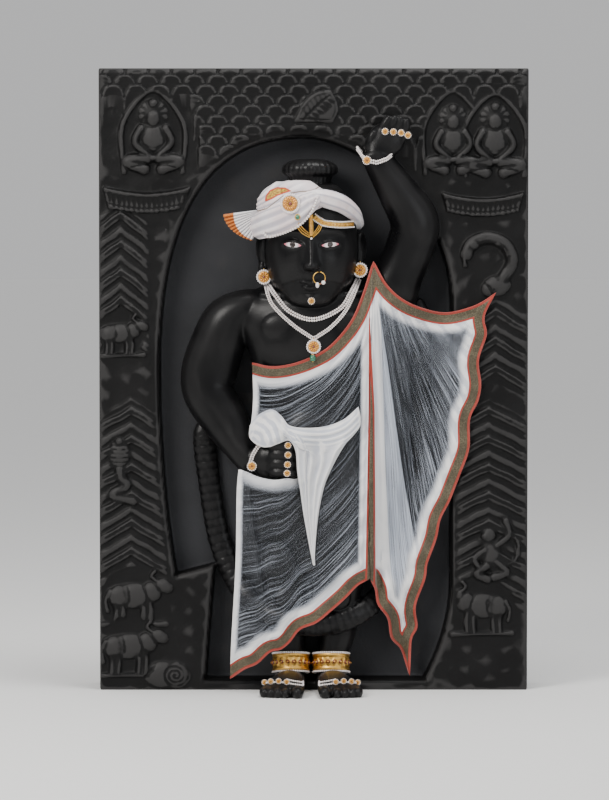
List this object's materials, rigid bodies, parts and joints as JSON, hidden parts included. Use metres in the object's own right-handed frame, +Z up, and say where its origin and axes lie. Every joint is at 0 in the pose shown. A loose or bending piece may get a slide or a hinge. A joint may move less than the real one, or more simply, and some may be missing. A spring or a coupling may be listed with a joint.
{
  "type": "dressed stone deity figure",
  "caption": "Standing deity carved in high relief in the arched niche of a black stone slab, one arm raised and one hand on the hip, with a muslin shawl, bound turban and jewellery.",
  "frame": {"origin": "bottom centre of the bounding box: mid-width, midway from the toes to the slab's back, on the plane of the slab's underside and the soles", "axes": "+Z up, -Y towards the front of the figure, +X to the viewer's right"},
  "size_m": [0.944, 0.32, 1.37],
  "materials": {
    "black_stone": "satin",
    "muslin": "matte",
    "turban_cloth": "matte",
    "gold": "satin",
    "pearl": "gloss",
    "enamel": "gloss",
    "emerald": "gloss"
  },
  "bodies": {
    "root": {"carved_stone": "black_stone", "shawl": "muslin", "waist_sash": "muslin", "turban": "turban_cloth", "turban_fan": "turban_cloth", "turban_pearls": "pearl", "turban_brooch": "gold", "turban_emerald": "emerald", "turban_band": "gold", "forehead_ornament": "gold", "eye_left": "enamel", "eye_right": "enamel", "earring_left": "gold", "earring_right": "gold", "nose_ring": "gold", "chin_jewel": "gold", "necklace_upper": "pearl", "necklace_lower": "pearl", "pendant": "gold", "pendant_emerald": "emerald", "bracelet_raised": "pearl", "bracelet_hip": "pearl", "finger_ring_raised_1": "gold", "finger_ring_raised_2": "gold", "finger_ring_raised_3": "gold", "finger_ring_raised_4": "gold", "finger_ring_hip_1": "gold", "finger_ring_hip_2": "gold", "finger_ring_hip_3": "gold", "finger_ring_hip_4": "gold", "anklet_left": "gold", "toe_chain_left": "pearl", "anklet_right": "gold", "toe_chain_right": "pearl"}
  },
  "joints": []
}
